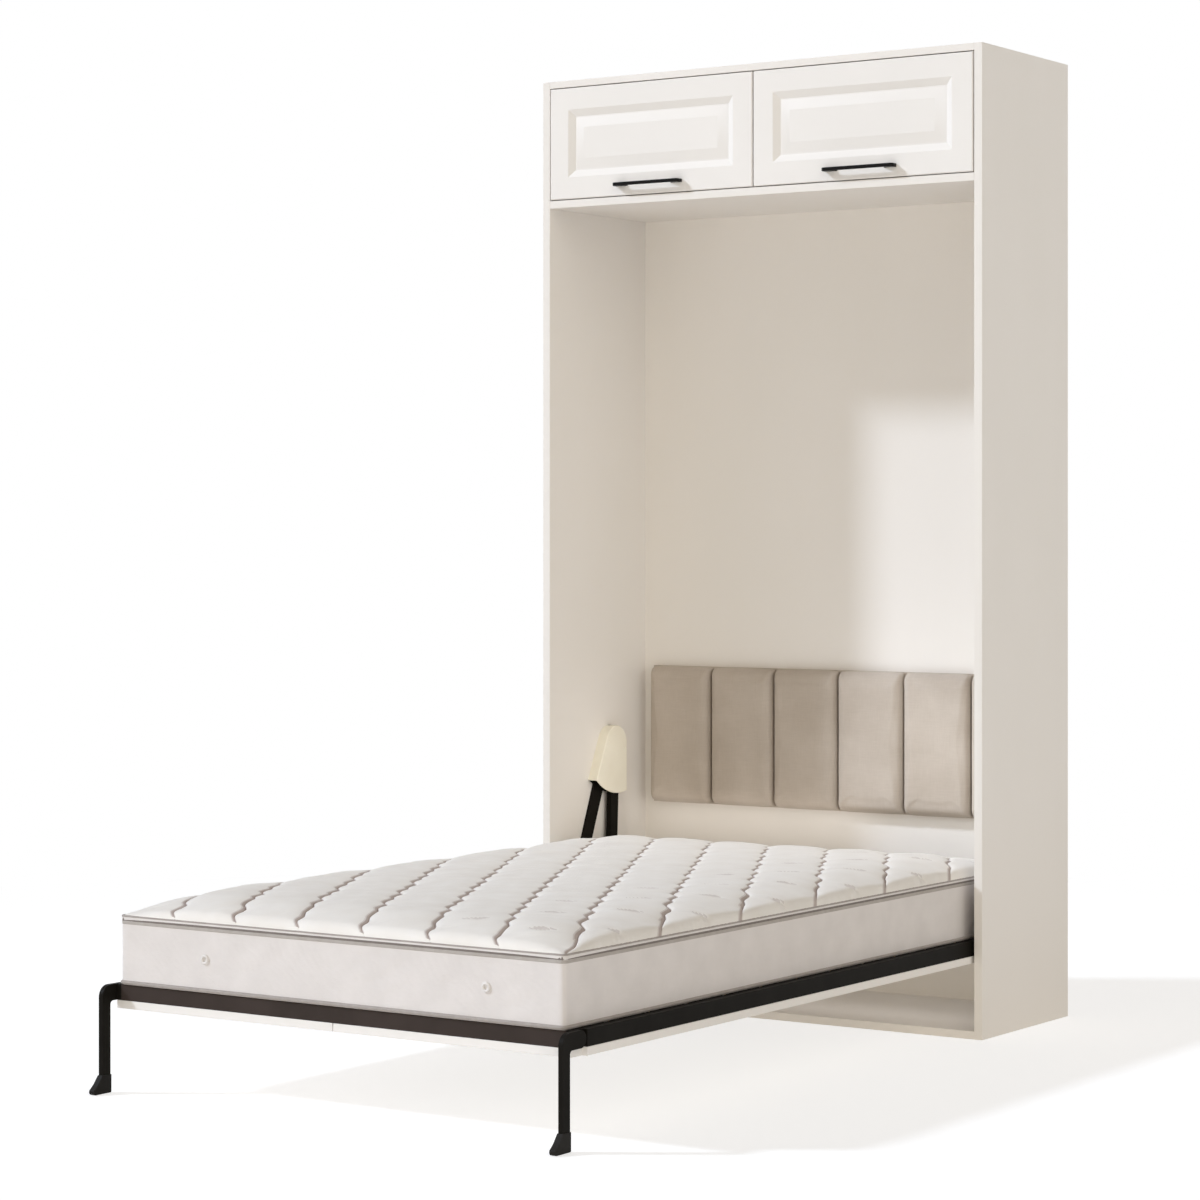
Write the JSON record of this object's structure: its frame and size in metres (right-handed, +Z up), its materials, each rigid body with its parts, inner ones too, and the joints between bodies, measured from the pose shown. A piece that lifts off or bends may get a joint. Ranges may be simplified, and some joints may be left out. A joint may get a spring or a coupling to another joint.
{
  "type": "wall bed",
  "caption": "Fold-down single bed in a white cabinet: frame on side pivots with extending struts, swing-out legs, quilted mattress, padded headboard and flap lockers above.",
  "frame": {"origin": "on the floor, in the middle of the cabinet's footprint", "axes": "+Z up, +Y to the wall, so the bed comes down towards -Y; +X to the right for someone who faces the cabinet"},
  "size_m": [1.304, 2.2555, 2.43],
  "materials": {
    "cabinet_laminate": "satin warm white laminated board",
    "painted_front": "satin warm white painted moulded front",
    "birch_ply": "sanded plywood",
    "birch_slat": "clear lacquered bent birch",
    "headboard_linen": "woven linen-look upholstery",
    "mattress_knit": "quilted knitted mattress ticking",
    "cream_plastic": "fine textured moulding",
    "black_plastic": "matt moulding",
    "nylon": "natural nylon",
    "black_steel": "satin black powder coat",
    "black_handle": "satin black",
    "zinc_steel": "zinc plated"
  },
  "bodies": {
    "cabinet": {"left_side_panel": "cabinet_laminate", "right_side_panel": "cabinet_laminate", "top_panel": "cabinet_laminate", "bottom_panel": "cabinet_laminate", "shelf_panel": "cabinet_laminate", "centre_partition": "cabinet_laminate", "back_panel": "cabinet_laminate", "wall_fixing_rail": "cabinet_laminate", "headboard_board": "birch_ply", "headboard_pad_1": "headboard_linen", "headboard_pad_2": "headboard_linen", "headboard_pad_3": "headboard_linen", "headboard_pad_4": "headboard_linen", "headboard_pad_5": "headboard_linen", "headboard_pad_6": "headboard_linen", "left_lift_plate": "black_steel", "right_lift_plate": "black_steel", "left_lift_cover": "cream_plastic", "right_lift_cover": "cream_plastic", "lift_plate_screws": "zinc_steel", "bed_pivot_pins": "zinc_steel", "strut_head_pins": "zinc_steel", "flap_hinge_arms": "zinc_steel"},
    "left_door": {"left_door": "painted_front", "left_door_handle": "black_handle", "left_door_cups": "zinc_steel"},
    "right_door": {"right_door": "painted_front", "right_door_handle": "black_handle", "right_door_cups": "zinc_steel"},
    "bed_frame": {"left_side_rail": "black_steel", "right_side_rail": "black_steel", "foot_rail": "black_steel", "head_rail": "black_steel", "cross_bars": "black_steel", "slats": "birch_slat", "slat_holders": "black_plastic", "left_ear_plate": "black_steel", "right_ear_plate": "black_steel", "pivot_bushes": "nylon", "left_face_panel": "painted_front", "right_face_panel": "painted_front", "face_panel_screws": "zinc_steel", "mattress": "mattress_knit", "mattress_stop": "black_steel", "leg_pins": "zinc_steel"},
    "left_leg": {"left_leg": "black_steel", "left_leg_shoe": "black_plastic"},
    "right_leg": {"right_leg": "black_steel", "right_leg_shoe": "black_plastic"},
    "left_strut": {"left_strut_sleeve": "black_steel"},
    "right_strut": {"right_strut_sleeve": "black_steel"},
    "left_strut_rod": {"left_strut_bar": "black_steel"},
    "right_strut_rod": {"right_strut_bar": "black_steel"}
  },
  "joints": [
    {"name": "bed_fold", "type": "hinge", "parent": "cabinet", "child": "bed_frame", "pos_m": [0, -0.1405, 0.281], "axis": [-1, 0, 0], "range_deg": [0, 90]},
    {"name": "left_door_flap", "type": "hinge", "parent": "cabinet", "child": "left_door", "pos_m": [-0.3145, -0.2375, 2.40501], "axis": [-1, 0, 0], "range_deg": [0, 90]},
    {"name": "left_leg_fold", "type": "hinge", "parent": "bed_frame", "child": "left_leg", "pos_m": [-0.6165, -1.92251, 0.22], "axis": [1, 0, 0], "range_deg": [0, 90]},
    {"name": "left_strut_swing", "type": "hinge", "parent": "cabinet", "child": "left_strut", "pos_m": [-0.612, 0.0425, 0.688], "axis": [-1, 0, 0], "range_deg": [0, 18]},
    {"name": "left_strut_slide", "type": "slide", "parent": "left_strut", "child": "left_strut_rod", "axis": [0, -0.0423, -0.9991], "range_m": [0, 0.19]},
    {"name": "right_door_flap", "type": "hinge", "parent": "cabinet", "child": "right_door", "pos_m": [0.3145, -0.2375, 2.40501], "axis": [-1, 0, 0], "range_deg": [0, 90]},
    {"name": "right_leg_fold", "type": "hinge", "parent": "bed_frame", "child": "right_leg", "pos_m": [0.6165, -1.92251, 0.22], "axis": [1, 0, 0], "range_deg": [0, 90]},
    {"name": "right_strut_swing", "type": "hinge", "parent": "cabinet", "child": "right_strut", "pos_m": [0.612, 0.0425, 0.688], "axis": [-1, 0, 0], "range_deg": [0, 18]},
    {"name": "right_strut_slide", "type": "slide", "parent": "right_strut", "child": "right_strut_rod", "axis": [0, -0.0423, -0.9991], "range_m": [0, 0.19]}
  ],
  "couplings": [
    {"joint": "left_leg_fold", "follows": "bed_fold", "ratio": 1},
    {"joint": "left_strut_swing", "follows": "bed_fold", "ratio": 0.18818},
    {"joint": "left_strut_slide", "follows": "bed_fold", "m_per_rad": 0.11517},
    {"joint": "right_leg_fold", "follows": "bed_fold", "ratio": 1},
    {"joint": "right_strut_swing", "follows": "bed_fold", "ratio": 0.18818},
    {"joint": "right_strut_slide", "follows": "bed_fold", "m_per_rad": 0.11517}
  ]
}
